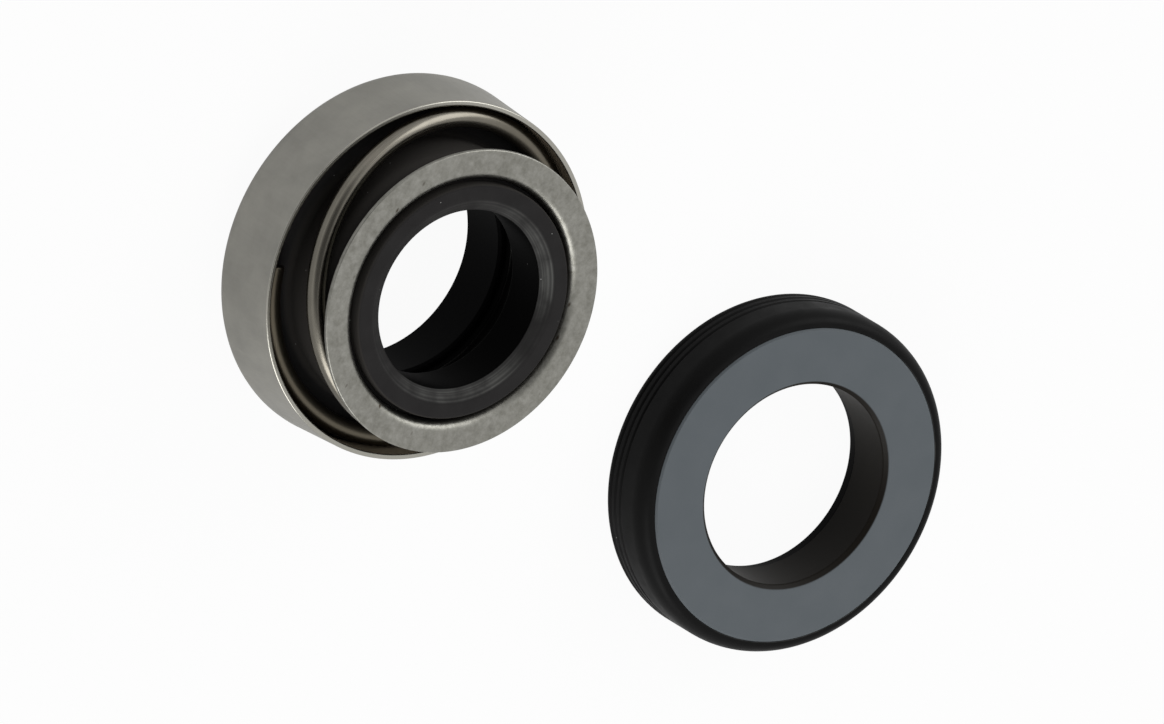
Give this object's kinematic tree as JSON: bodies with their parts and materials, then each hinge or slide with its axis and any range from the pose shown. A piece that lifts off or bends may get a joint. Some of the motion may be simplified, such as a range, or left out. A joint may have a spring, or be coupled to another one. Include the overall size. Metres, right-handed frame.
{
  "type": "shaft seal",
  "caption": "Rotating spring head and stationary seat of a face seal: the head grips a pump shaft and its carbon ring runs on the seat's lapped ring.",
  "frame": {"origin": "centre of the footprint of the pair, on the surface that the head and the seat lie on", "axes": "+Z along both halves' axis, up from the resting faces towards the spring holder; +Y from the head to the seat"},
  "size_m": [0.0392, 0.0961, 0.0182],
  "materials": {
    "drawn_stainless": "satin drawn sheet",
    "tumbled_stainless": "tumbled, mottled",
    "spring_wire": "bright drawn wire",
    "moulded_rubber": "matte moulded",
    "pressed_carbon": "matte pressed carbon",
    "lapped_ceramic": "matte lapped"
  },
  "bodies": {
    "sealing_side": {"carbon_ring": "pressed_carbon", "retainer_shell": "drawn_stainless", "bellows": "moulded_rubber", "coil_spring": "spring_wire", "seat_ring": "lapped_ceramic", "seat_boot": "moulded_rubber"},
    "drive_side": {"spring_holder": "tumbled_stainless"}
  },
  "joints": [
    {"name": "spring_travel", "type": "slide", "parent": "sealing_side", "child": "drive_side", "axis": [0, 0, 1], "range_m": [-0.004, 0], "stiffness_N_per_m": 5000, "deforming": ["coil_spring", "bellows"]}
  ]
}
